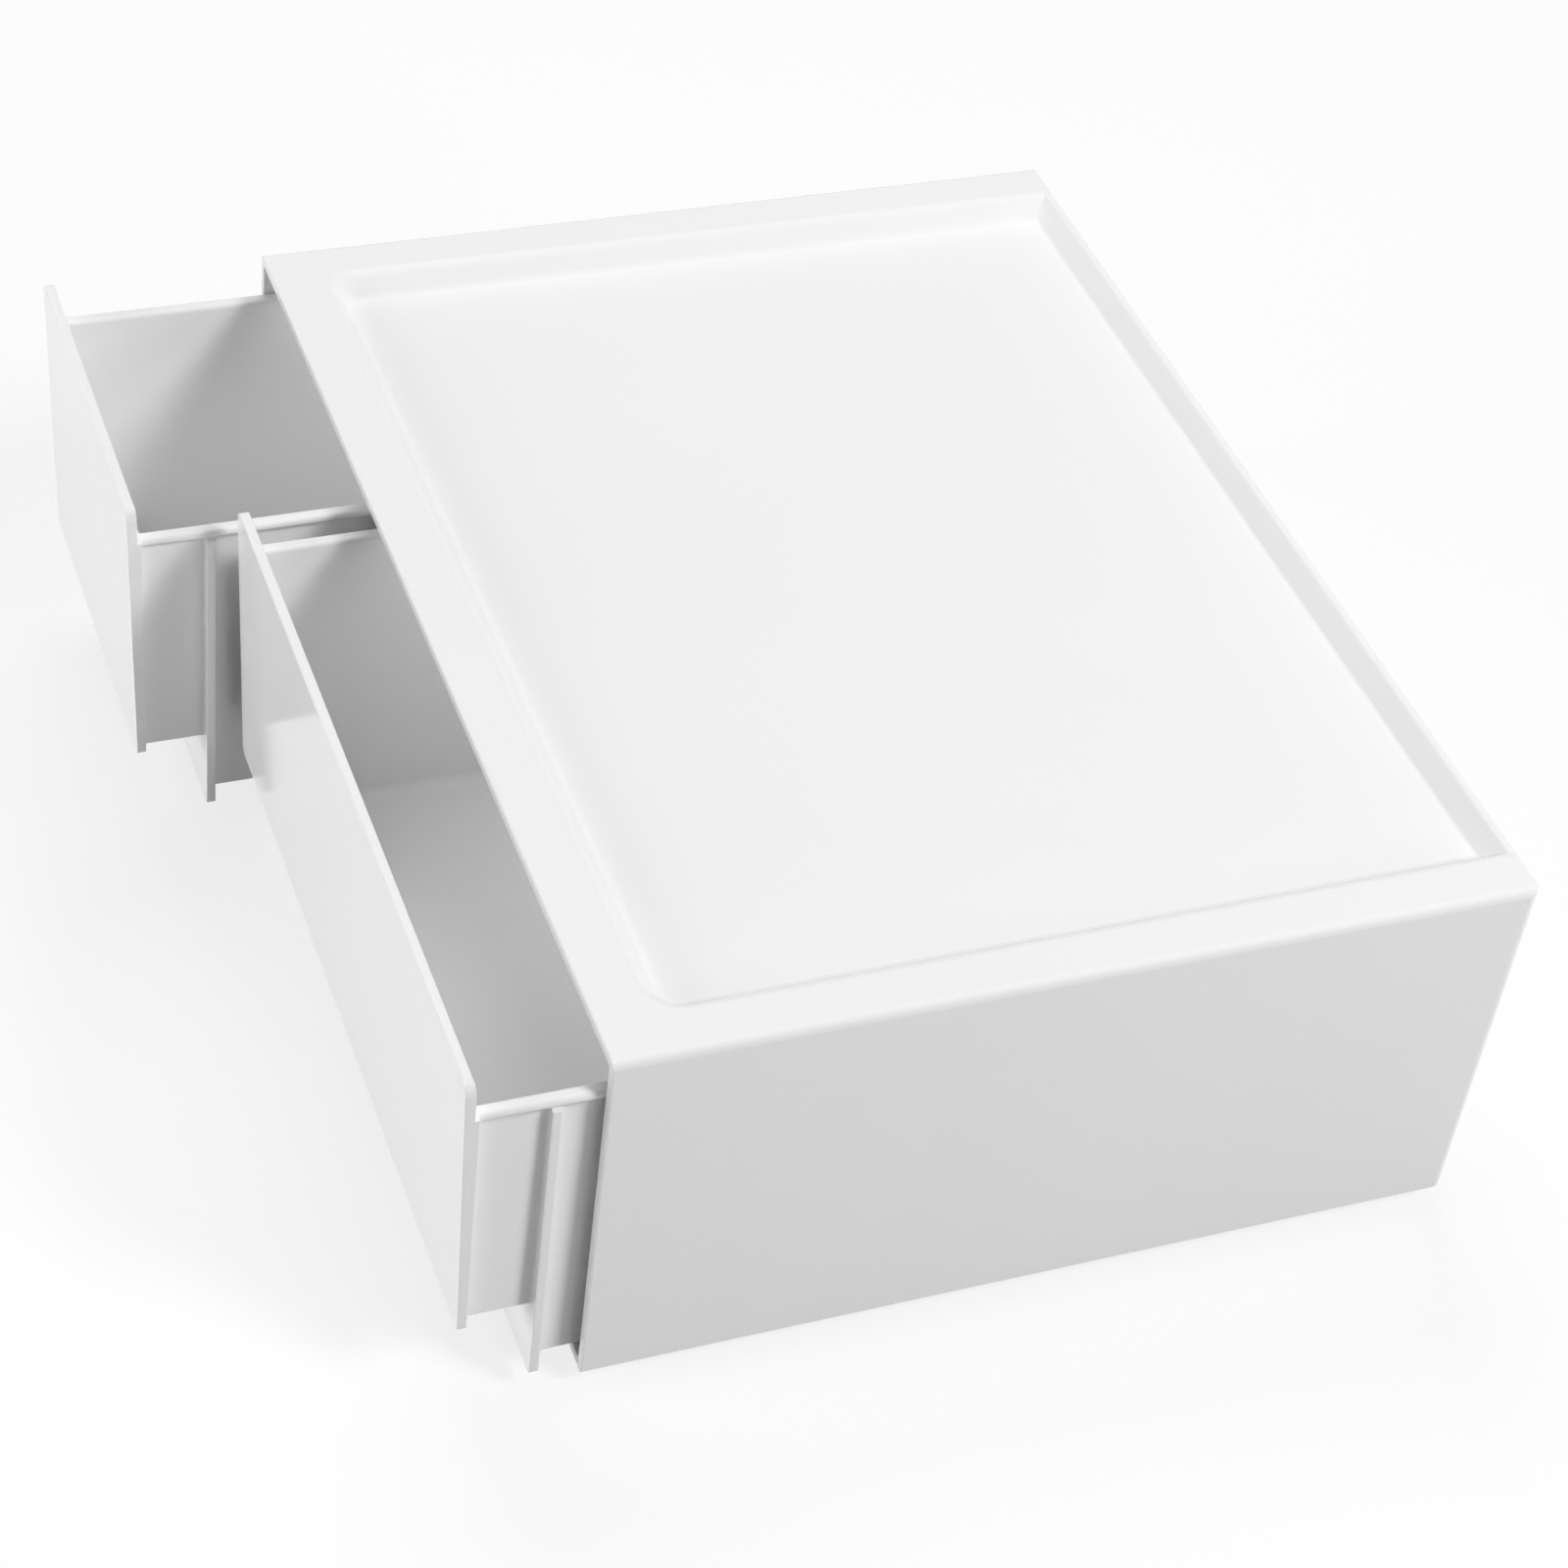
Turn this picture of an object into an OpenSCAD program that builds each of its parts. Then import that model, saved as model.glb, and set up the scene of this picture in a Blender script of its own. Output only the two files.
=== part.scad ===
// Stackable drawer box: a moulded housing with a stacking tray in its top,
// a snapped-in base panel, an upright divider, and two sliding drawers.
// Origin: middle of the housing's underside; the feet reach below it.
// X runs across the front, the front faces -Y, Z is up. Lengths in mm.

/* [Housing] */
// Width of the housing across the front
housing_w = 265; // [220:1:320]
// Depth of the housing from front to back
housing_d = 196; // [170:1:260]
// Height of the housing above its feet
housing_h = 89.5; // [80:0.5:130]
// Thickness of the side and back walls
wall_t = 2.1; // [1.8:0.1:3]
// Thickness of the top
top_t = 2.1; // [1.8:0.1:2.6]
// Outside radius along the two long top edges
top_edge_r = 2; // [1.5:0.5:6]
// Outside radius of the upright back edges
back_edge_r = 2.5; // [1:0.5:5]
// Small radius on the front and bottom edges
soft_edge_r = 0.5; // [0.4:0.1:1.4]

/* [Stacking tray in the top] */
// Depth of the tray
tray_depth = 5; // [4:0.5:6]
// Flat border left at the sides and the front
tray_border = 10.2; // [8:0.2:16]
// Flat border left at the back
tray_back_border = 1; // [1:0.1:6]
// Slope of the tray's side and front walls, in degrees
tray_angle = 50; // [45:1:60]
// Radius of the rounding at the top and foot of those walls
tray_fillet_r = 3.3; // [3:0.1:4]
// Slope of the tray's back wall, in degrees
tray_back_angle = 55; // [50:1:80]
// Radius of the rounding on the back wall
tray_back_fillet_r = 1.2; // [0.8:0.1:1.6]
// Corner radius of the tray at the front, in plan
tray_corner_r = 9; // [9:0.5:14]

/* [Base panel and feet] */
// Thickness of the base panel
floor_t = 2.4; // [2:0.1:4]
// Diameter of a foot
foot_d = 18; // [12:1:26]
// Diameter of a foot pad
pad_d = 13; // [8:1:18]
// Thickness of a foot pad
pad_t = 1.6; // [1.2:0.1:2]
// How far a pad stands out of its foot
pad_proud = 0.8; // [0.4:0.1:1]
// Length of a snap tab on the panel's edge
tab_l = 14; // [8:1:24]
// How far a snap tab reaches into the side wall
tab_reach = 0.9; // [0.6:0.1:1.2]

/* [Divider] */
// Thickness of the divider
divider_t = 2.4; // [1.8:0.1:3]
// How far the divider stands back from the front
divider_setback = 4; // [2:0.5:12]
// Length of a divider tab that plugs into the base panel
divider_tab_l = 18; // [10:1:30]
// Thickness of the two ribs that hold the divider's top edge
channel_rib_t = 1.2; // [0.8:0.1:1.6]
// Height of those ribs
channel_rib_h = 1.4; // [1:0.1:1.8]
// Height of the guide ribs along the divider
guide_rib_h = 2; // [1:0.5:4]

/* [Drawers] */
// Width of the small drawer's front
small_front_w = 86; // [60:0.5:120]
// Gap between the two drawer fronts
fronts_gap = 3.6; // [2.4:0.1:6]
// How far a front reaches past its rim, on each side
front_overlap = 1.2; // [1:0.1:3]
// Underside of the raised front floor and of the front, above the housing's bottom
front_z = 19.5; // [12:0.5:30]
// Top of the side walls below the top of the housing
rim_drop = 9.5; // [9.5:0.5:20]
// Width of the rim, wall included
rim_w = 3.2; // [2.6:0.1:5]
// Height of the rim's rounded lip
rim_lip_h = 1.5; // [1.2:0.1:3]
// Thickness of the drawer walls
drawer_wall_t = 1.8; // [1.4:0.1:2.4]
// Thickness of the drawer floors
drawer_floor_t = 1.8; // [1.4:0.1:3]
// How far the side walls lean in from rim to floor
wall_draft = 1; // [0:0.1:2]
// Distance from the housing to the foot of a closed drawer's front
front_reach = 17.8; // [12:0.5:30]
// How far the front leans out from its foot to its top
front_lean = 1.7; // [0:0.1:3]
// Thickness of the front at its foot
front_foot_t = 1.9; // [1.6:0.1:3]
// Thickness of the front below its step, at rim height
front_step_t = 3.2; // [2.4:0.1:4]
// Thickness of the front at its top
front_top_t = 2.2; // [1.6:0.1:3]
// Corner radius at the top of a front
front_top_r = 3; // [1:0.5:6]
// Corner radius at the foot of a front
front_foot_r = 1.5; // [0.5:0.5:4]
// Thickness of the stop flange that meets the housing
flange_t = 2; // [1.4:0.1:3]
// Height of the flange's lower edge above the housing's bottom
flange_z = 1; // [0.6:0.1:2]
// How far the flange reaches past the rim, on each side
flange_overlap = 0.8; // [0.7:0.1:1]

/* [Opening] */
// How far the small drawer stands open
small_open = 31.4; // [0:0.1:120]
// How far the wide drawer stands open
wide_open = 8.3; // [0:0.1:120]
// How far a drawer opens before its stop lugs meet
drawer_travel = 140; // [100:1:150]

/* [Fits] */
// Sliding clearance between a drawer and what guides it
run_gap = 0.4; // [0.3:0.05:0.6]
// Clearance of snapped and plugged joints
fit_gap = 0.15; // [0.1:0.05:0.3]
// Clearance behind a closed drawer
rear_gap = 2; // [1:0.5:6]
// Clearance between two stop lugs at the end of the travel
stop_gap = 0.3; // [0.3:0.1:1]
// Play of a foot at the tray walls of the box below
nest_gap = 1; // [0.5:0.1:2]
// How far a foot ends above the tray floor of the box below
nest_lift = 0.4; // [0:0.1:0.8]

/* [Hidden] */
$fn = 48;
eps = 0.01;              // overlap of bodies that are cut or joined
over = 20;               // how far a cutter runs past what it cuts
white = [0.93, 0.93, 0.92];
rubber_grey = [0.62, 0.63, 0.63];

front_y = -housing_d / 2;
back_y = housing_d / 2;
inner_x = housing_w / 2 - wall_t;
inner_back_y = back_y - wall_t;

// Stacking tray
tray_x = housing_w / 2 - tray_border;
tray_front_y = front_y + tray_border;
tray_back_y = back_y - tray_back_border;
tray_under_z = housing_h - tray_depth - top_t;
tray_slope_w = slope_width(tray_angle, tray_fillet_r);
tray_back_slope_w = slope_width(tray_back_angle, tray_back_fillet_r);
arc_steps = 8;           // straight steps along each rounding of the tray walls

// Feet, which drop into the tray of a box below
foot_h = tray_depth - nest_lift;
foot_x = tray_x - tray_slope_w - nest_gap - foot_d / 2;
foot_front_y = tray_front_y + tray_slope_w + nest_gap + foot_d / 2;
foot_back_y = tray_back_y - tray_back_slope_w - nest_gap - foot_d / 2;
pad_play = 0.1;          // glue line round a pad

// Snap tabs along each side of the base panel
tab_count = 3;
tab_z = 0.6;             // skin of the panel below and above a tab
tab_h = floor_t - 2 * tab_z;

// Drawers
rim_z = housing_h - rim_drop;
rim_outer_x = inner_x - run_gap;
front_outer_x = rim_outer_x + front_overlap;
small_x0 = -front_outer_x;
small_x1 = small_x0 + small_front_w;
wide_x0 = small_x1 + fronts_gap;
wide_x1 = front_outer_x;
drawer_z = floor_t + run_gap;
drawer_l = housing_d - wall_t - rear_gap;
drawer_top_z = housing_h;
outer_r = 1.5;           // rounding outside, along the floor
inner_r = 2.5;           // rounding inside, along the floor
rim_r = 1;               // rounding along the rim's upper outer edge
rim_inner_r = 1;         // rounding along the rim's upper inner edge
tub_y = -front_reach + front_foot_t / 3; // front end of the tub, inside the front
front_edge_r = 0.6;      // rounding along the top of a front
flange_foot_r = 0.8;     // rounding of the flange's lower corners

// Stop lugs: one inside each side wall, one on each drawer's outer wall
lug_y = 6;               // from the front to the housing's lug
lug_l = 3;
lug_reach = 1.3;         // housing's lug, in from the side wall
lug_h = 16;
lug_z = 40;
drawer_lug_l = 6;

// Divider
divider_x = (small_x1 + wide_x0) / 2;
divider_y0 = front_y + divider_setback;
divider_l = inner_back_y - divider_y0;
divider_tabs = 2;
channel_setback = tray_border + tray_slope_w;
rim_gap_half = fronts_gap / 2 + front_overlap;
guide_rib_reach = rim_gap_half - divider_t / 2 - run_gap;
guide_rib_z = rim_z - rim_lip_h / 2 - guide_rib_h / 2;

// Plan width of a wall that drops by the tray's depth with both ends rounded
function slope_width(angle, r) =
    2 * r * sin(angle) + slope_run(angle, r) * cos(angle);
// Straight length of that wall between its two roundings
function slope_run(angle, r) =
    (tray_depth - 2 * r * (1 - cos(angle))) / sin(angle);
// Points along an arc about c, from angle a0 to angle a1
function arc_points(c, r, a0, a1) =
    [for (i = [0:arc_steps]) let (a = a0 + (a1 - a0) * i / arc_steps) c + r * [cos(a), sin(a)]];
// Middle of item i of n spread evenly over a length
function spread(i, n, length) = length * (i + 0.5) / n;

// Extrude a Y-Z outline along X
module along_x(x0, x1) {
    translate([x0, 0, 0]) rotate([90, 0, 90]) linear_extrude(x1 - x0) children();
}

// Extrude an X-Z outline along Y
module along_y(y0, y1) {
    translate([0, y1, 0]) rotate([90, 0, 0]) linear_extrude(y1 - y0) children();
}

// Box between two corners
module block(p0, p1) {
    translate(p0) cube(p1 - p0);
}

// Rectangle between two corners with a radius on each corner, listed
// anticlockwise from the lower left
module soft_rect(p0, p1, r) {
    corners = [[p0[0], p0[1]], [p1[0], p0[1]], [p1[0], p1[1]], [p0[0], p1[1]]];
    inwards = [[1, 1], [-1, 1], [-1, -1], [1, -1]];
    difference() {
        translate(p0) square(p1 - p0);
        for (i = [0:3]) {
            if (r[i] > 0) {
                corner_trim(corners[i], inwards[i], r[i]);
            }
        }
    }
}

// What a corner loses to its radius; dir points from the corner to the inside
module corner_trim(corner, dir, r) {
    translate(corner) mirror([dir[0] < 0 ? 1 : 0, 0]) mirror([0, dir[1] < 0 ? 1 : 0])
        difference() {
            translate([-eps, -eps]) square(r + eps);
            translate([r, r]) circle(r);
        }
}

// ---------------------------------------------------------------- housing

// Section through the tray wall: the room above it, from the tray's edge at
// u = 0 inwards to u = reach; grow thickens it all round by the top's thickness
module tray_section(angle, r, reach, grow) {
    w = slope_width(angle, r);
    upper = arc_points([0, -r], r - grow, 90, 90 - angle);
    lower = arc_points([w, r - tray_depth], r + grow, 270 - angle, 270);
    polygon(concat(upper, lower, [[reach, -tray_depth - grow], [reach, over], [0, over]]));
}

// The tray's sides and rounded front, run on past the back
module tray_front_part(grow) {
    half_l = tray_x - tray_corner_r;
    round_y = tray_front_y + tray_corner_r;
    along_y(round_y, back_y + over) {
        for (side = [0, 1]) {
            mirror([side, 0])
                translate([-tray_x, 0]) tray_section(tray_angle, tray_fillet_r, tray_x + eps, grow);
        }
    }
    along_x(-half_l, half_l) translate([tray_front_y, 0])
        tray_section(tray_angle, tray_fillet_r, tray_corner_r, grow);
    for (side = [0, 1]) {
        mirror([side, 0, 0]) translate([-half_l, round_y, 0]) rotate([0, 0, 180])
            rotate_extrude(angle = 90) translate([tray_corner_r, 0]) mirror([1, 0])
                tray_section(tray_angle, tray_fillet_r, tray_corner_r, grow);
    }
}

// Room that the tray takes out of the top
module tray_room() {
    translate([0, 0, housing_h]) intersection() {
        tray_front_part(0);
        along_x(-tray_x, tray_x) translate([tray_back_y, 0]) mirror([1, 0])
            tray_section(tray_back_angle, tray_back_fillet_r, housing_d, 0);
    }
}

// Outside of the housing: three outlines meet in it
module housing_block() {
    r = soft_edge_r;
    intersection() {
        along_y(front_y, back_y) soft_rect([-housing_w / 2, 0], [housing_w / 2, housing_h],
            [r, r, top_edge_r, top_edge_r]);
        along_x(-housing_w / 2, housing_w / 2) soft_rect([front_y, 0], [back_y, housing_h],
            [0, back_edge_r, r, r]);
        linear_extrude(housing_h) soft_rect([-housing_w / 2, front_y], [housing_w / 2, back_y],
            [r, r, back_edge_r, back_edge_r]);
    }
}

// Room inside the housing, open at the front and at the bottom
module housing_room() {
    r = max(top_edge_r - wall_t, 0.4);
    along_y(front_y - over, inner_back_y)
        soft_rect([-inner_x, -over], [inner_x, housing_h - top_t], [0, 0, r, r]);
}

// Pockets in the side walls, or with no gap the tabs that snap into them
module side_tabs(gap) {
    panel_l = inner_back_y - front_y;
    for (side = [0, 1]) {
        mirror([side, 0, 0]) {
            for (i = [0:tab_count - 1]) {
                y = front_y + spread(i, tab_count, panel_l);
                block([inner_x - wall_t, y - tab_l / 2 - gap, tab_z - gap],
                    [inner_x + tab_reach + gap, y + tab_l / 2 + gap, tab_z + tab_h + gap]);
            }
        }
    }
}

// Two ribs under the tray that hold the divider's top edge
module divider_channel() {
    rib_x = divider_t / 2 + fit_gap;
    for (side = [0, 1]) {
        translate([divider_x, 0, 0]) mirror([side, 0, 0])
            block([rib_x, front_y + channel_setback, tray_under_z - channel_rib_h],
                [rib_x + channel_rib_t, inner_back_y + eps, tray_under_z + eps]);
    }
}

// Lug inside each side wall that ends a drawer's travel
module housing_lugs() {
    for (side = [0, 1]) {
        mirror([side, 0, 0])
            block([inner_x - lug_reach, front_y + lug_y, lug_z],
                [inner_x + eps, front_y + lug_y + lug_l, lug_z + lug_h]);
    }
}

module housing_shell() {
    color(white) {
        difference() {
            housing_block();
            difference() {
                housing_room();
                translate([0, 0, housing_h]) tray_front_part(top_t);
            }
            tray_room();
            side_tabs(fit_gap);
        }
        divider_channel();
        housing_lugs();
    }
}

// ------------------------------------------------------- base panel, feet

// Place something at one foot, standing on the level of the pads' undersides
module at_foot(side, y) {
    translate([side * foot_x, y, -foot_h]) children();
}

// Place a copy of something at each foot
module at_feet() {
    for (side = [-1, 1]) {
        for (y = [foot_front_y, foot_back_y]) {
            at_foot(side, y) children();
        }
    }
}

module base_panel() {
    color(white) difference() {
        union() {
            block([-inner_x, front_y, 0], [inner_x, inner_back_y, floor_t]);
            side_tabs(0);
            at_feet() translate([0, 0, pad_proud])
                cylinder(d = foot_d, h = foot_h - pad_proud + eps);
        }
        at_feet() cylinder(d = pad_d + 2 * pad_play, h = pad_t);
        divider_tabs(fit_gap);
    }
}

module foot_pad(side, y) {
    color(rubber_grey) at_foot(side, y) cylinder(d = pad_d, h = pad_t);
}

// ---------------------------------------------------------------- divider

// Slots in the base panel, or with no gap the tabs that plug into them
module divider_tabs(gap) {
    for (i = [0:divider_tabs - 1]) {
        y = divider_y0 + spread(i, divider_tabs, divider_l);
        block([divider_x - divider_t / 2 - gap, y - divider_tab_l / 2 - gap, -gap],
            [divider_x + divider_t / 2 + gap, y + divider_tab_l / 2 + gap, floor_t + gap]);
    }
}

module centre_divider() {
    color(white) {
        block([divider_x - divider_t / 2, divider_y0, floor_t],
            [divider_x + divider_t / 2, inner_back_y, tray_under_z]);
        divider_tabs(0);
        for (side = [0, 1]) {
            translate([divider_x, 0, 0]) mirror([side, 0, 0])
                block([divider_t / 2 - eps, divider_y0, guide_rib_z],
                    [divider_t / 2 + guide_rib_reach, inner_back_y, guide_rib_z + guide_rib_h]);
        }
    }
}

// ---------------------------------------------------------------- drawers

// Section across a drawer: x0 and x1 are its walls at rim height, from where
// they lean in by the draft down to z0 and its two rounded corners; top closes
// the section from right to left
module drawer_section(x0, x1, z0, r, top) {
    lean = atan(wall_draft / (rim_z - drawer_z));
    c_z = z0 + r;
    inset = tan(lean) * (rim_z - c_z) + r / cos(lean);
    left = arc_points([x0 + inset, c_z], r, 180 + lean, 270);
    right = arc_points([x1 - inset, c_z], r, 270, 360 - lean);
    polygon(concat(left, right, top));
}

// The front: a leaning plate, thinner above the rim, with rounded corners
module drawer_front(x0, x1) {
    rise = drawer_top_z - front_z;
    lean_at_step = front_lean * (rim_z - front_z) / rise;
    foot_y = -front_reach;
    top_y = foot_y - front_lean;
    step_y = foot_y - lean_at_step;
    r = front_edge_r;
    inside = arc_points([top_y + front_top_t - r, drawer_top_z - r], r, 0, 90);
    outside = arc_points([top_y + r, drawer_top_z - r], r, 90, 180);
    intersection() {
        along_x(x0, x1) polygon(concat([[foot_y, front_z], [foot_y + front_foot_t, front_z],
            [step_y + front_step_t, rim_z - rim_lip_h], [step_y + front_step_t, rim_z],
            [step_y + front_top_t, rim_z]], inside, outside));
        along_y(-front_reach - over, 0) soft_rect([x0, front_z], [x1, drawer_top_z],
            [front_foot_r, front_foot_r, front_top_r, front_top_r]);
    }
}

// Solid envelope of a drawer's tub: raised in front of the flange, deep behind
module tub_block(x0, x1) {
    r = outer_r;
    heel = arc_points([drawer_l - r, drawer_z + r], r, 270, 360);
    intersection() {
        along_x(x0, x1) polygon(concat([[tub_y, rim_z], [tub_y, front_z], [-flange_t, front_z],
            [-flange_t, drawer_z]], heel, [[drawer_l, rim_z]]));
        along_y(tub_y, drawer_l)
            drawer_section(x0, x1, drawer_z, r, [[x1, rim_z], [x0, rim_z]]);
    }
}

// Room inside a drawer: a shallow bay at the front and the deep bay behind,
// flared at the top where the rim is rounded
module tub_room(x0, x1) {
    r = inner_r;
    q = rim_inner_r;
    start_y = tub_y - over;
    end_y = drawer_l - drawer_wall_t;
    shelf_z = front_z + drawer_floor_t;
    deep_z = drawer_z + drawer_floor_t;
    top_z = rim_z + over;
    toe = arc_points([r, deep_z + r], r, 180, 270);
    heel = arc_points([end_y - r, deep_z + r], r, 270, 360);
    back = arc_points([end_y + q, rim_z - q], q, 180, 90);
    right = arc_points([x1 + q, rim_z - q], q, 180, 90);
    left = arc_points([x0 - q, rim_z - q], q, 90, 0);
    intersection() {
        along_x(x0 - over, x1 + over) polygon(concat([[start_y, top_z], [start_y, shelf_z],
            [0, shelf_z]], toe, heel, back, [[end_y + q, top_z]]));
        along_y(start_y, drawer_l)
            drawer_section(x0, x1, deep_z, r, concat(right, [[x1 + q, top_z], [x0 - q, top_z]], left));
    }
}

// Rim along the sides and back, rounded along its upper edges
module rim_block(x0, x1) {
    along_y(tub_y, drawer_l)
        soft_rect([x0, rim_z - rim_lip_h], [x1, rim_z], [0, 0, rim_r, rim_r]);
}

// Stop flange that meets the housing; x0 and x1 are the rim's sides, to which
// its upper corners are cut back
module flange(x0, x1) {
    r = flange_foot_r;
    top_z = rim_z - rim_lip_h;
    left = arc_points([x0 - flange_overlap + r, flange_z + r], r, 180, 270);
    right = arc_points([x1 + flange_overlap - r, flange_z + r], r, 270, 360);
    along_y(-flange_t, 0) polygon(concat(left, right, [[x1 + flange_overlap, top_z - flange_overlap],
        [x1, top_z], [x0, top_z], [x0 - flange_overlap, top_z - flange_overlap]]));
}

// A whole drawer with its flange's back face at Y = 0; x0 and x1 are the
// edges of its front, and outer is the side that runs along the housing
module drawer(x0, x1, outer) {
    rim_x0 = x0 + front_overlap;
    rim_x1 = x1 - front_overlap;
    wall_x0 = rim_x0 + rim_w - drawer_wall_t;
    wall_x1 = rim_x1 - rim_w + drawer_wall_t;
    drawer_front(x0, x1);
    difference() {
        union() {
            tub_block(wall_x0, wall_x1);
            rim_block(rim_x0, rim_x1);
            flange(rim_x0, rim_x1);
        }
        tub_room(rim_x0 + rim_w, rim_x1 - rim_w);
    }
    stop_lug(outer > 0 ? rim_x1 : rim_x0, outer);
}

// Lug on a drawer's outer wall that meets the housing's lug when it is open
module stop_lug(rim_x, outer) {
    lug_front = lug_y + lug_l + stop_gap + drawer_travel;
    root_x = rim_x - outer * (rim_w - drawer_wall_t / 2);
    block([min(rim_x, root_x), lug_front, lug_z],
        [max(rim_x, root_x), lug_front + drawer_lug_l, lug_z + lug_h]);
}

module small_drawer() {
    color(white) translate([0, front_y - small_open, 0]) drawer(small_x0, small_x1, -1);
}

module wide_drawer() {
    color(white) translate([0, front_y - wide_open, 0]) drawer(wide_x0, wide_x1, 1);
}

housing_shell();
base_panel();
centre_divider();
small_drawer();
wide_drawer();
foot_pad(-1, foot_front_y);  // foot_pad_front_left
foot_pad(1, foot_front_y);  // foot_pad_front_right
foot_pad(-1, foot_back_y);  // foot_pad_back_left
foot_pad(1, foot_back_y);  // foot_pad_back_right
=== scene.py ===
"""Looks for a stackable drawer box: white mouldings, rubber foot pads and a plain studio."""

import math

import bmesh
import bpy
import numpy as np
from mathutils import Matrix, Vector


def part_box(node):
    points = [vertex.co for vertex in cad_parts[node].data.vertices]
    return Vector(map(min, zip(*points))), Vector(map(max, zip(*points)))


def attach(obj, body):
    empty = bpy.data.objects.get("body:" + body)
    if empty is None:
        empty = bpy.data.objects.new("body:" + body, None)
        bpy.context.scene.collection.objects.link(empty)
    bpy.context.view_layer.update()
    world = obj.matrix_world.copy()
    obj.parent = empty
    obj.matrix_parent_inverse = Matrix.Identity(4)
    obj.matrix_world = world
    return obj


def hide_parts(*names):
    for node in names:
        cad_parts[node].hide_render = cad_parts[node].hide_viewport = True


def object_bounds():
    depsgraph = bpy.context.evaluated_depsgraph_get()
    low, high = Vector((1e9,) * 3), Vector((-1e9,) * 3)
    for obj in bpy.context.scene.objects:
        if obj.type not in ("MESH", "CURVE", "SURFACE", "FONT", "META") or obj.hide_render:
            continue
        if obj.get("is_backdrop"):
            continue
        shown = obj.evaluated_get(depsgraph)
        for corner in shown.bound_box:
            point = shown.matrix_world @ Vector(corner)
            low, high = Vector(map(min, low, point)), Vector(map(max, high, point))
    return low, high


bl_info = {
    "name": "Stackable Drawer Box",
    "version": (1, 0, 0),
    "blender": (4, 5, 0),
    "location": "3D View > Sidebar > Drawer Box",
    "description": "Dresses a stackable drawer box and lights it in a plain studio",
    "category": "Add Mesh",
}

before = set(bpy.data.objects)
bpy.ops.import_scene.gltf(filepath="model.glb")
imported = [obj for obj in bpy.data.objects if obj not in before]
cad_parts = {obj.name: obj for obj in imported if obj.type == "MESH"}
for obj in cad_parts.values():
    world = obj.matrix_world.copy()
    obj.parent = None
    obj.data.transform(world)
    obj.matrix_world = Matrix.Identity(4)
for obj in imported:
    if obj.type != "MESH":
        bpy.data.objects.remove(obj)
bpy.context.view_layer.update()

MM = 0.001


# ---------------------------------------------------------------- settings


class DrawerBoxMoulding(bpy.types.PropertyGroup):
    """Colours of the pieces and radii of their small edges."""

    plastic_light: bpy.props.StringProperty(
        name="Plastic, light",
        description="Paler of the plastic's two whites, sRGB hex",
        default="#F7F7F7",
    )
    plastic_dark: bpy.props.StringProperty(
        name="Plastic, dark",
        description="Deeper of the plastic's two whites, sRGB hex",
        default="#F4F4F4",
    )
    rubber: bpy.props.StringProperty(
        name="Rubber",
        description="Colour of the foot pads, sRGB hex",
        default="#9E9F9F",
    )
    housing_edge: bpy.props.FloatProperty(
        name="Housing edge",
        description="Radius of the housing's small edges",
        default=0.3 * MM,
        min=0.1 * MM,
        max=0.9 * MM,
        unit="LENGTH",
    )
    drawer_edge: bpy.props.FloatProperty(
        name="Drawer edge",
        description="Radius of the drawers' small edges",
        default=0.3 * MM,
        min=0.1 * MM,
        max=0.6 * MM,
        unit="LENGTH",
    )


class DrawerBoxStudio(bpy.types.PropertyGroup):
    """Camera, lamps and floor."""

    azimuth: bpy.props.FloatProperty(
        name="Azimuth",
        description="Camera's bearing round the housing, 0 from the front",
        default=math.radians(63.78),
        subtype="ANGLE",
    )
    elevation: bpy.props.FloatProperty(
        name="Elevation",
        description="Camera's height above the horizon",
        default=math.radians(40.66),
        subtype="ANGLE",
    )
    distance: bpy.props.FloatProperty(
        name="Distance",
        description="Camera's distance from the housing's middle",
        default=818.5 * MM,
        unit="LENGTH",
    )
    roll: bpy.props.FloatProperty(
        name="Roll",
        description="Camera's turn about its own axis",
        default=math.radians(8.23),
        subtype="ANGLE",
    )
    lens: bpy.props.FloatProperty(
        name="Lens",
        description="Focal length on a 36 mm sensor",
        default=83.8,
    )
    aim: bpy.props.FloatVectorProperty(
        name="Aim",
        description="Point that the camera looks at",
        size=3,
        default=(8.25 * MM, -12.84 * MM, 30.35 * MM),
        subtype="XYZ",
    )
    sky: bpy.props.FloatProperty(
        name="Sky",
        description="Strength of the even light from all round",
        default=0.03,
    )
    key: bpy.props.FloatProperty(
        name="Key",
        description="Power of the lamp high up behind on the right",
        default=18.4,
    )
    side: bpy.props.FloatProperty(
        name="Side",
        description="Power of the low lamp behind on the right",
        default=4.8,
    )
    front: bpy.props.FloatProperty(
        name="Front",
        description="Power of the low wide lamp before the drawers",
        default=13.6,
    )
    left: bpy.props.FloatProperty(
        name="Left",
        description="Power of the high wide lamp on the left",
        default=10.2,
    )
    through_top: bpy.props.FloatProperty(
        name="Through the top",
        description="Power of the light that the thin white top lets into the bays",
        default=0.056,
    )
    floor_glow: bpy.props.FloatProperty(
        name="Floor glow",
        description="Share of the floor's white that shadows don't reach",
        default=0.75,
    )


# --------------------------------------------------------------- materials

WHITE = (1, 1, 1, 1)


def linear(hex_colour):
    """sRGB hex to linear RGBA."""
    channels = [int(hex_colour[i : i + 2], 16) / 255 for i in (1, 3, 5)]
    return [c / 12.92 if c <= 0.04045 else ((c + 0.055) / 1.055) ** 2.4 for c in channels] + [1.0]


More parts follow.
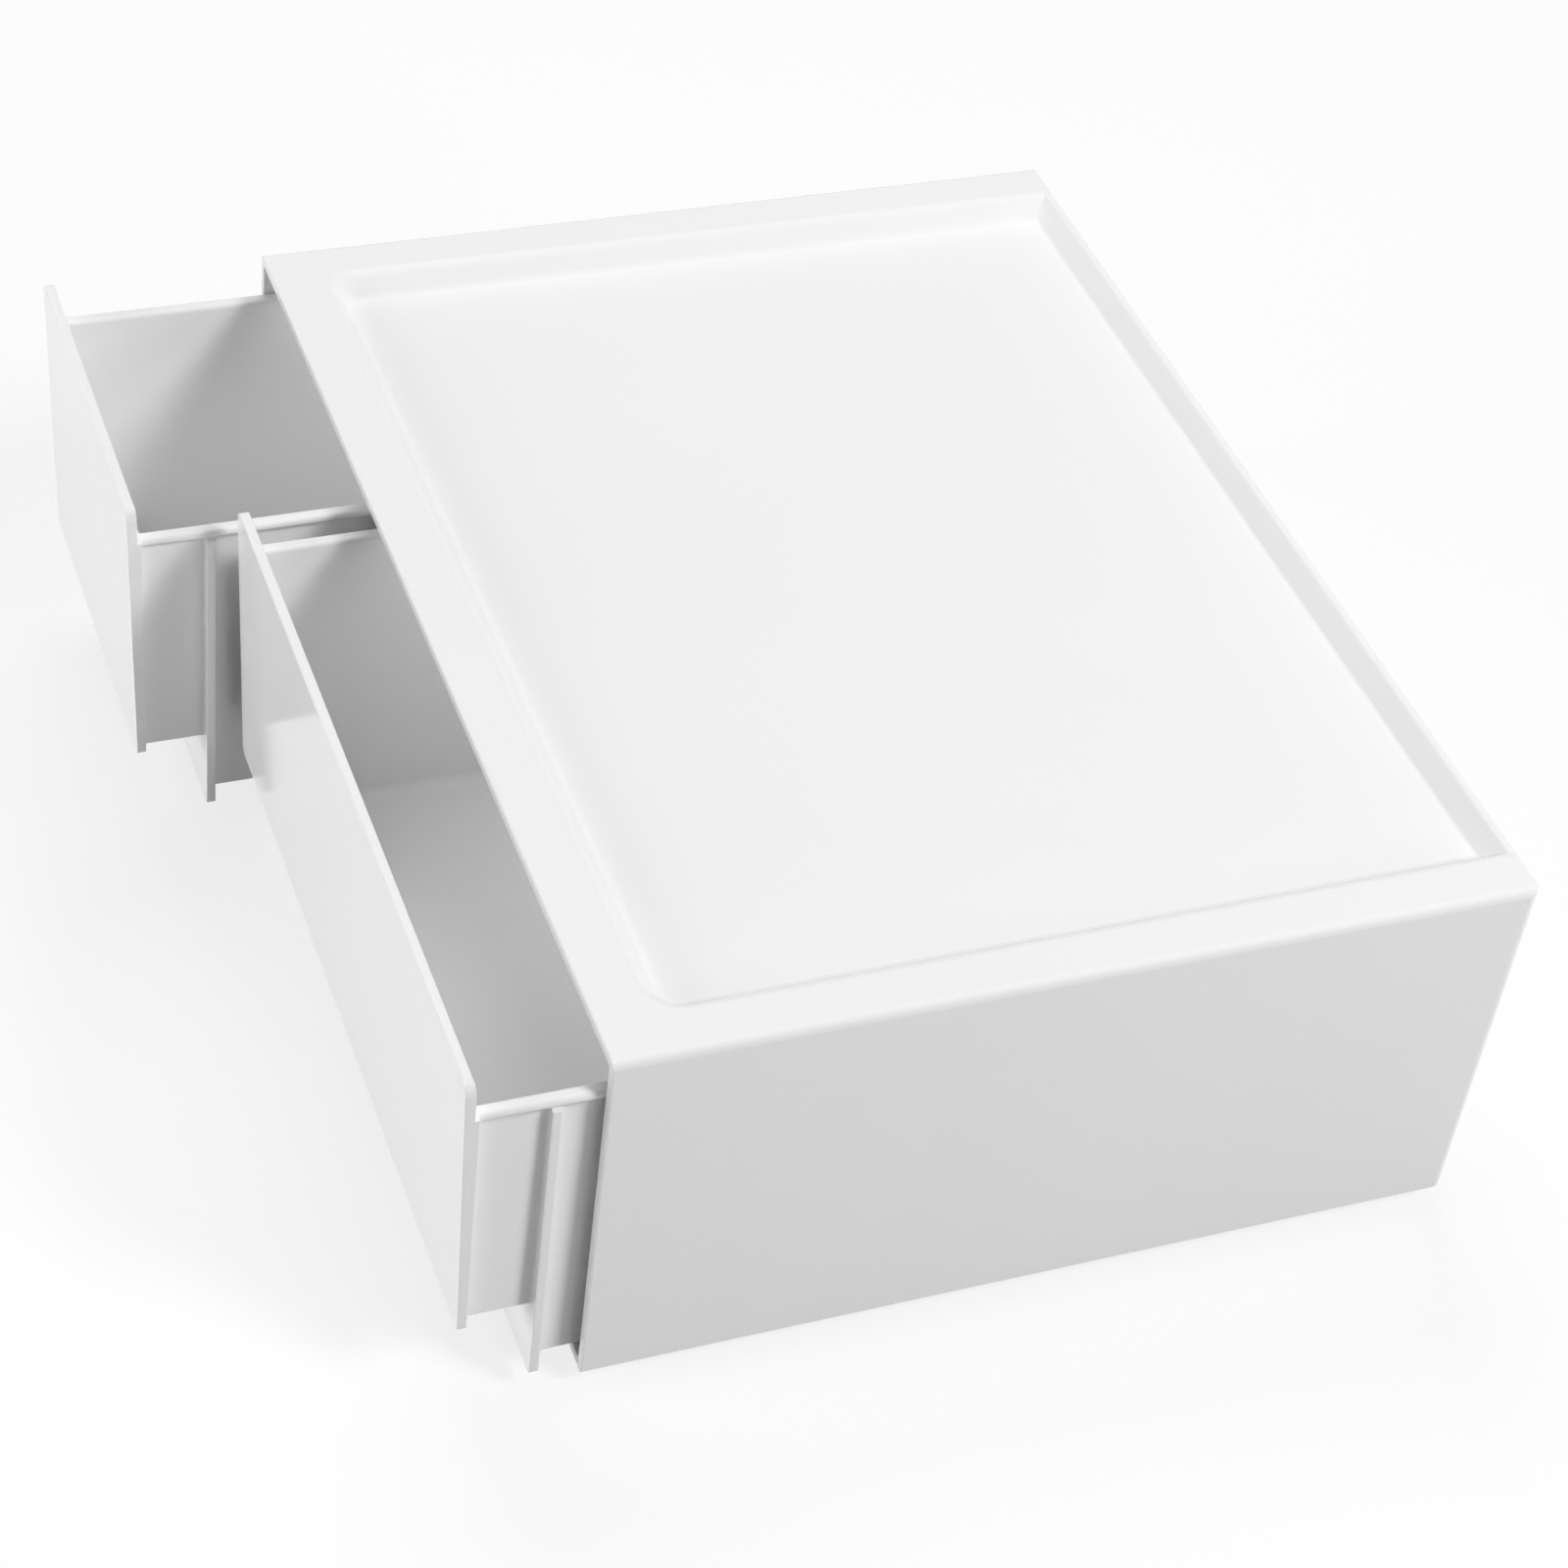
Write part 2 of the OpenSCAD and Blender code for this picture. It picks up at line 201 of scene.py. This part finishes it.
def add_node(tree, kind, inputs=None, **settings):
    """Adds a node, sets its properties, and fills its inputs with values or other nodes' outputs."""
    node = tree.nodes.new(kind)
    for name, value in settings.items():
        setattr(node, name, value)
    for name, value in (inputs or {}).items():
        if isinstance(value, bpy.types.NodeSocket):
            tree.links.new(value, node.inputs[name])
        else:
            node.inputs[name].default_value = value
    return node


def new_material(name):
    """An empty node material and its tree."""
    material = bpy.data.materials.new(name)
    material.use_nodes = True
    material.node_tree.nodes.clear()
    return material, material.node_tree


def moulded_polypropylene(light, dark):
    """Injection-moulded white polypropylene from a polished mould: near white, with a clear but
    soft gloss, a faint waviness where it shrank as it cooled, and a very fine orange peel."""
    material, tree = new_material("moulded_polypropylene")
    place = add_node(tree, "ShaderNodeTexCoord").outputs["Object"]
    flow_mm = 70
    wave_mm = 24
    peel_mm = 1.6
    flow = add_node(
        tree, "ShaderNodeTexNoise",
        {"Vector": place, "Scale": 1 / (flow_mm * MM), "Detail": 3.0},
    )
    wave = add_node(
        tree, "ShaderNodeTexNoise",
        {"Vector": place, "Scale": 1 / (wave_mm * MM), "Detail": 1.0},
    )
    peel = add_node(
        tree, "ShaderNodeTexNoise",
        {"Vector": place, "Scale": 1 / (peel_mm * MM), "Detail": 2.0},
    )
    colour = add_node(tree, "ShaderNodeMix", data_type="RGBA")
    tree.links.new(flow.outputs["Fac"], colour.inputs["Factor"])
    colour.inputs["A"].default_value = linear(dark)
    colour.inputs["B"].default_value = linear(light)
    roughness = add_node(
        tree, "ShaderNodeMapRange",
        {
            "Value": flow.outputs["Fac"],
            "From Min": 0.3,
            "From Max": 0.7,
            "To Min": 0.12,
            "To Max": 0.17,
        },
    )
    waviness = add_node(
        tree, "ShaderNodeBump",
        {"Height": wave.outputs["Fac"], "Strength": 1.0, "Distance": 0.03 * MM},
    )
    orange_peel = add_node(
        tree, "ShaderNodeBump",
        {
            "Height": peel.outputs["Fac"],
            "Strength": 1.0,
            "Distance": 0.002 * MM,
            "Normal": waviness.outputs["Normal"],
        },
    )
    shader = add_node(
        tree, "ShaderNodeBsdfPrincipled",
        {
            "Base Color": colour.outputs["Result"],
            "Roughness": roughness.outputs["Result"],
            "Normal": orange_peel.outputs["Normal"],
            "IOR": 1.49,
        },
    )
    add_node(tree, "ShaderNodeOutputMaterial", {"Surface": shader.outputs["BSDF"]})
    return material


def moulded_rubber(colour):
    """Compression-moulded soft rubber: matt and slightly dusty, with a fine pitted skin."""
    material, tree = new_material("moulded_rubber")
    place = add_node(tree, "ShaderNodeTexCoord").outputs["Object"]
    dust_mm = 6
    pit_mm = 0.5
    dust = add_node(
        tree, "ShaderNodeTexNoise",
        {"Vector": place, "Scale": 1 / (dust_mm * MM), "Detail": 4.0},
    )
    pits = add_node(
        tree, "ShaderNodeTexNoise",
        {"Vector": place, "Scale": 1 / (pit_mm * MM), "Detail": 2.0},
    )
    tint = add_node(
        tree, "ShaderNodeMapRange",
        {
            "Value": dust.outputs["Fac"],
            "From Min": 0.3,
            "From Max": 0.7,
            "To Min": 0.92,
            "To Max": 1.08,
        },
    )
    shade = add_node(tree, "ShaderNodeVectorMath", {0: linear(colour)[:3]}, operation="SCALE")
    tree.links.new(tint.outputs["Result"], shade.inputs["Scale"])
    bump = add_node(
        tree, "ShaderNodeBump",
        {"Height": pits.outputs["Fac"], "Strength": 0.6, "Distance": 0.03 * MM},
    )
    shader = add_node(
        tree, "ShaderNodeBsdfPrincipled",
        {
            "Base Color": shade.outputs["Vector"],
            "Roughness": 0.75,
            "Normal": bump.outputs["Normal"],
            "IOR": 1.52,
        },
    )
    add_node(tree, "ShaderNodeOutputMaterial", {"Surface": shader.outputs["BSDF"]})
    return material


def shared_material(make, *colours):
    """The material that make names, made once."""
    found = bpy.data.materials.get(make.__name__)
    return found or make(*colours)


def plastic():
    """The moulded white plastic with the panel's colours."""
    colours = bpy.context.scene.drawer_box_moulding
    return shared_material(moulded_polypropylene, colours.plastic_light, colours.plastic_dark)


# ------------------------------------------------------------------ pieces

SHARP_ANGLE = math.radians(30)
FLAT_ANGLE = math.radians(0.5)
MERGE_DISTANCE = 0.001 * MM
SHORT_EDGE = 1.8 * MM
LONG_EDGE = 20 * MM
ROUND_SEGMENTS = 3


def round_edges(build, radius):
    """Rounds the sharp edges, all but the short chords at the ends of small arcs."""
    sharp = [
        edge for edge in build.edges
        if len(edge.link_faces) == 2
        and edge.calc_face_angle() > SHARP_ANGLE
        and edge.calc_length() > SHORT_EDGE
    ]
    bmesh.ops.bevel(
        build,
        geom=sharp,
        offset=radius,
        segments=ROUND_SEGMENTS,
        profile=0.5,
        affect="EDGES",
        miter_outer="ARC",
        clamp_overlap=False,
        loop_slide=False,
    )


def is_long(face):
    """Whether a face has an edge of the long kind."""
    return max(edge.calc_length() for edge in face.edges) > LONG_EDGE


def mark_creases(build):
    """Keeps creases out of the smooth shading: sharp turns, and the short mitres where two long
    arcs meet, so that no long face takes its shade from another."""
    for edge in build.edges:
        turn = edge.calc_face_angle(0.0)
        strips = all(is_long(face) for face in edge.link_faces)
        mitre = strips and edge.calc_length() < SHORT_EDGE and turn > FLAT_ANGLE
        edge.smooth = not (turn > SHARP_ANGLE or mitre)


def moulding(node, radius, body):
    """A moulding with its small edges rounded: the CAD node's faces, merged where they are
    coplanar, with a small round along every sharp edge."""
    name = node + "_moulding"
    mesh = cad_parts[node].data.copy()
    mesh.name = name
    build = bmesh.new()
    build.from_mesh(mesh)
    bmesh.ops.remove_doubles(build, verts=build.verts, dist=MERGE_DISTANCE)
    bmesh.ops.dissolve_limit(
        build,
        angle_limit=FLAT_ANGLE,
        verts=build.verts,
        edges=build.edges,
        delimit=set(),
    )
    round_edges(build, radius)
    mark_creases(build)
    for face in build.faces:
        face.smooth = True
    build.to_mesh(mesh)
    build.free()
    if "custom_normal" in mesh.attributes:
        mesh.attributes.remove(mesh.attributes["custom_normal"])
    piece = bpy.data.objects.new(name, mesh)
    bpy.context.scene.collection.objects.link(piece)
    mesh.materials.clear()
    mesh.materials.append(plastic())
    weigh = piece.modifiers.new("flat faces stay flat", "WEIGHTED_NORMAL")
    weigh.keep_sharp = True
    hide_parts(node)
    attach(piece, body)


class DRAWERBOX_OT_housing(bpy.types.Operator):
    """Makes the housing's moulded shell, base panel and divider"""

    bl_idname = "drawer_box.housing"
    bl_label = "Housing"

    def execute(self, context):
        radius = context.scene.drawer_box_moulding.housing_edge
        for node in ("housing_shell", "base_panel", "centre_divider"):
            moulding(node, radius, "housing")
        return {"FINISHED"}


class DRAWERBOX_OT_drawers(bpy.types.Operator):
    """Makes the small and the wide drawer"""

    bl_idname = "drawer_box.drawers"
    bl_label = "Drawers"

    def execute(self, context):
        radius = context.scene.drawer_box_moulding.drawer_edge
        for node in ("small_drawer", "wide_drawer"):
            moulding(node, radius, node)
        return {"FINISHED"}


class DRAWERBOX_OT_foot_pads(bpy.types.Operator):
    """Gives the foot pads their rubber"""

    bl_idname = "drawer_box.foot_pads"
    bl_label = "Foot pads"

    def execute(self, context):
        rubber = shared_material(moulded_rubber, context.scene.drawer_box_moulding.rubber)
        for name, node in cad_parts.items():
            if name.startswith("foot_pad"):
                node.data.materials.clear()
                node.data.materials.append(rubber)
        return {"FINISHED"}


# ------------------------------------------------------------------- stage

SENSOR_WIDTH_MM = 36
CLIP_START = 0.05
CLIP_END = 20
TOP_LAMP_MARGIN = 4 * MM
TOP_LAMP_RIGHT_MARGIN = 60 * MM
TOP_LAMP_BACK_MARGIN = 40 * MM
TOP_LAMP_DROP = 0.5 * MM
FLOOR_HALF = 4.0
FLOOR_GREY = "#BEBEBE"


def bearing(azimuth, elevation):
    """The direction at an azimuth, counted from the front to the right, and a height above the
    horizon."""
    across = math.cos(elevation)
    return Vector((math.sin(azimuth) * across, -math.cos(azimuth) * across, math.sin(elevation)))


def make_camera(studio):
    """The camera: placed by bearing, height and distance from the housing's middle, then aimed
    and rolled."""
    low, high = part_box("housing_shell")
    middle = (low + high) / 2
    place = middle + bearing(studio.azimuth, studio.elevation) * studio.distance
    forward = (Vector(studio.aim) - place).normalized()
    level = forward.cross(Vector((0, 0, 1))).normalized()
    upright = level.cross(forward)
    right = level * math.cos(studio.roll) + upright * math.sin(studio.roll)
    up = right.cross(forward)
    turn = Matrix((right, up, -forward)).transposed().to_4x4()
    data = bpy.data.cameras.new("camera")
    data.sensor_width = SENSOR_WIDTH_MM
    data.lens = studio.lens
    data.clip_start = CLIP_START
    data.clip_end = CLIP_END
    camera = bpy.data.objects.new("camera", data)
    camera.matrix_world = Matrix.Translation(place) @ turn
    bpy.context.scene.collection.objects.link(camera)
    bpy.context.scene.camera = camera


def make_lamp(name, azimuth, elevation, distance, size, power):
    """A square soft lamp that faces the housing's middle: its bearing in degrees, its distance
    and size in metres."""
    low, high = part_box("housing_shell")
    middle = (low + high) / 2
    towards = bearing(math.radians(azimuth), math.radians(elevation))
    data = bpy.data.lights.new(name, "AREA")
    data.shape = "SQUARE"
    data.size = size
    data.energy = power
    lamp = bpy.data.objects.new(name, data)
    lamp.location = middle + towards * distance
    lamp.rotation_euler = (-towards).to_track_quat("-Z", "Y").to_euler()
    lamp.visible_glossy = False
    bpy.context.scene.collection.objects.link(lamp)


def make_light_through_top(power):
    """A thin white moulding lets some of the light through. Cycles has its walls opaque to
    bounced light, so a faint lamp that nothing sees lies just under the top instead and fills
    the bays. It stays clear of the outer side and the back."""
    low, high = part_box("housing_shell")
    _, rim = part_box("centre_divider")
    left = low.x + TOP_LAMP_MARGIN
    right = high.x - TOP_LAMP_RIGHT_MARGIN
    front = low.y + TOP_LAMP_MARGIN
    back = high.y - TOP_LAMP_BACK_MARGIN
    data = bpy.data.lights.new("light_through_top", "AREA")
    data.shape = "RECTANGLE"
    data.size = right - left
    data.size_y = back - front
    data.energy = power
    lamp = bpy.data.objects.new("light_through_top", data)
    lamp.location = ((left + right) / 2, (front + back) / 2, rim.z - TOP_LAMP_DROP)
    lamp.visible_camera = False
    lamp.visible_glossy = False
    bpy.context.scene.collection.objects.link(lamp)


def seen_directly(tree):
    """One for rays from the camera and for reflections, zero for the light's own bounces."""
    path = add_node(tree, "ShaderNodeLightPath")
    either = add_node(
        tree, "ShaderNodeMath",
        {0: path.outputs["Is Camera Ray"], 1: path.outputs["Is Glossy Ray"]},
        operation="MAXIMUM",
    )
    return either.outputs["Value"]


def make_sky(strength):
    """Even light from all round, which the camera and reflections see as plain white."""
    world = bpy.data.worlds.new("studio")
    bpy.context.scene.world = world
    world.use_nodes = True
    tree = world.node_tree
    tree.nodes.clear()
    white = add_node(tree, "ShaderNodeBackground", {"Color": WHITE, "Strength": 1.0})
    fill = add_node(tree, "ShaderNodeBackground", {"Color": WHITE, "Strength": strength})
    mix = add_node(
        tree, "ShaderNodeMixShader",
        {0: seen_directly(tree), 1: fill.outputs["Background"], 2: white.outputs["Background"]},
    )
    add_node(tree, "ShaderNodeOutputWorld", {"Surface": mix.outputs["Shader"]})


def floor_paper(glow):
    """Matt grey paper that lights the object from below. Seen directly it is white, and part of
    that white is glow, so shadows stay soft."""
    material, tree = new_material("floor_paper")
    paper = add_node(tree, "ShaderNodeBsdfDiffuse", {"Color": linear(FLOOR_GREY)})
    faint = add_node(tree, "ShaderNodeBsdfDiffuse", {"Color": [1 - glow] * 3 + [1.0]})
    shine = add_node(tree, "ShaderNodeEmission", {"Color": WHITE, "Strength": glow})
    seen = add_node(
        tree, "ShaderNodeAddShader",
        {0: faint.outputs["BSDF"], 1: shine.outputs["Emission"]},
    )
    mix = add_node(
        tree, "ShaderNodeMixShader",
        {0: seen_directly(tree), 1: paper.outputs["BSDF"], 2: seen.outputs["Shader"]},
    )
    add_node(tree, "ShaderNodeOutputMaterial", {"Surface": mix.outputs["Shader"]})
    return material


def make_floor(glow):
    """A wide pale floor under the pads."""
    low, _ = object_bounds()
    corners = FLOOR_HALF * np.array([(-1, -1), (1, -1), (1, 1), (-1, 1)])
    points = np.c_[corners, np.full(len(corners), low.z)]
    mesh = bpy.data.meshes.new("floor")
    mesh.from_pydata(points.tolist(), [], [(0, 1, 2, 3)])
    mesh.materials.append(floor_paper(glow))
    floor = bpy.data.objects.new("floor", mesh)
    bpy.context.scene.collection.objects.link(floor)
    floor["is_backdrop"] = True


class DRAWERBOX_OT_studio(bpy.types.Operator):
    """Makes the camera, the lamps and the floor"""

    bl_idname = "drawer_box.studio"
    bl_label = "Studio"

    def execute(self, context):
        studio = context.scene.drawer_box_studio
        make_camera(studio)
        make_sky(studio.sky)
        make_lamp("key", azimuth=127, elevation=46, distance=1.8, size=0.48, power=studio.key)
        make_lamp("side", azimuth=125, elevation=20, distance=1.8, size=0.45, power=studio.side)
        make_lamp("front", azimuth=0, elevation=10, distance=1.5, size=0.8, power=studio.front)
        make_lamp("left", azimuth=270, elevation=60, distance=1.5, size=0.8, power=studio.left)
        make_light_through_top(studio.through_top)
        make_floor(studio.floor_glow)
        context.scene.view_settings.view_transform = "Standard"
        return {"FINISHED"}


# ------------------------------------------------------------------- panel

OPERATORS = (
    DRAWERBOX_OT_housing,
    DRAWERBOX_OT_drawers,
    DRAWERBOX_OT_foot_pads,
    DRAWERBOX_OT_studio,
)


class DRAWERBOX_PT_panel(bpy.types.Panel):
    """Sizes, colours and steps of the drawer box"""

    bl_idname = "DRAWERBOX_PT_panel"
    bl_label = "Drawer Box"
    bl_space_type = "VIEW_3D"
    bl_region_type = "UI"
    bl_category = "Drawer Box"

    def draw(self, context):
        for settings in (context.scene.drawer_box_moulding, context.scene.drawer_box_studio):
            for name in settings.__annotations__:
                self.layout.prop(settings, name)
        for operator in OPERATORS:
            self.layout.operator(operator.bl_idname)


CLASSES = (DrawerBoxMoulding, DrawerBoxStudio, *OPERATORS, DRAWERBOX_PT_panel)


def register():
    """Registers the classes and hangs the settings on the scene."""
    for cls in CLASSES:
        bpy.utils.register_class(cls)
    bpy.types.Scene.drawer_box_moulding = bpy.props.PointerProperty(type=DrawerBoxMoulding)
    bpy.types.Scene.drawer_box_studio = bpy.props.PointerProperty(type=DrawerBoxStudio)


def unregister():
    """Takes the settings and the classes away again."""
    del bpy.types.Scene.drawer_box_studio
    del bpy.types.Scene.drawer_box_moulding
    for cls in reversed(CLASSES):
        bpy.utils.unregister_class(cls)


def main():
    """Makes every piece and the studio."""
    register()
    bpy.ops.drawer_box.housing()
    bpy.ops.drawer_box.drawers()
    bpy.ops.drawer_box.foot_pads()
    bpy.ops.drawer_box.studio()


if __name__ == "__main__":
    main()
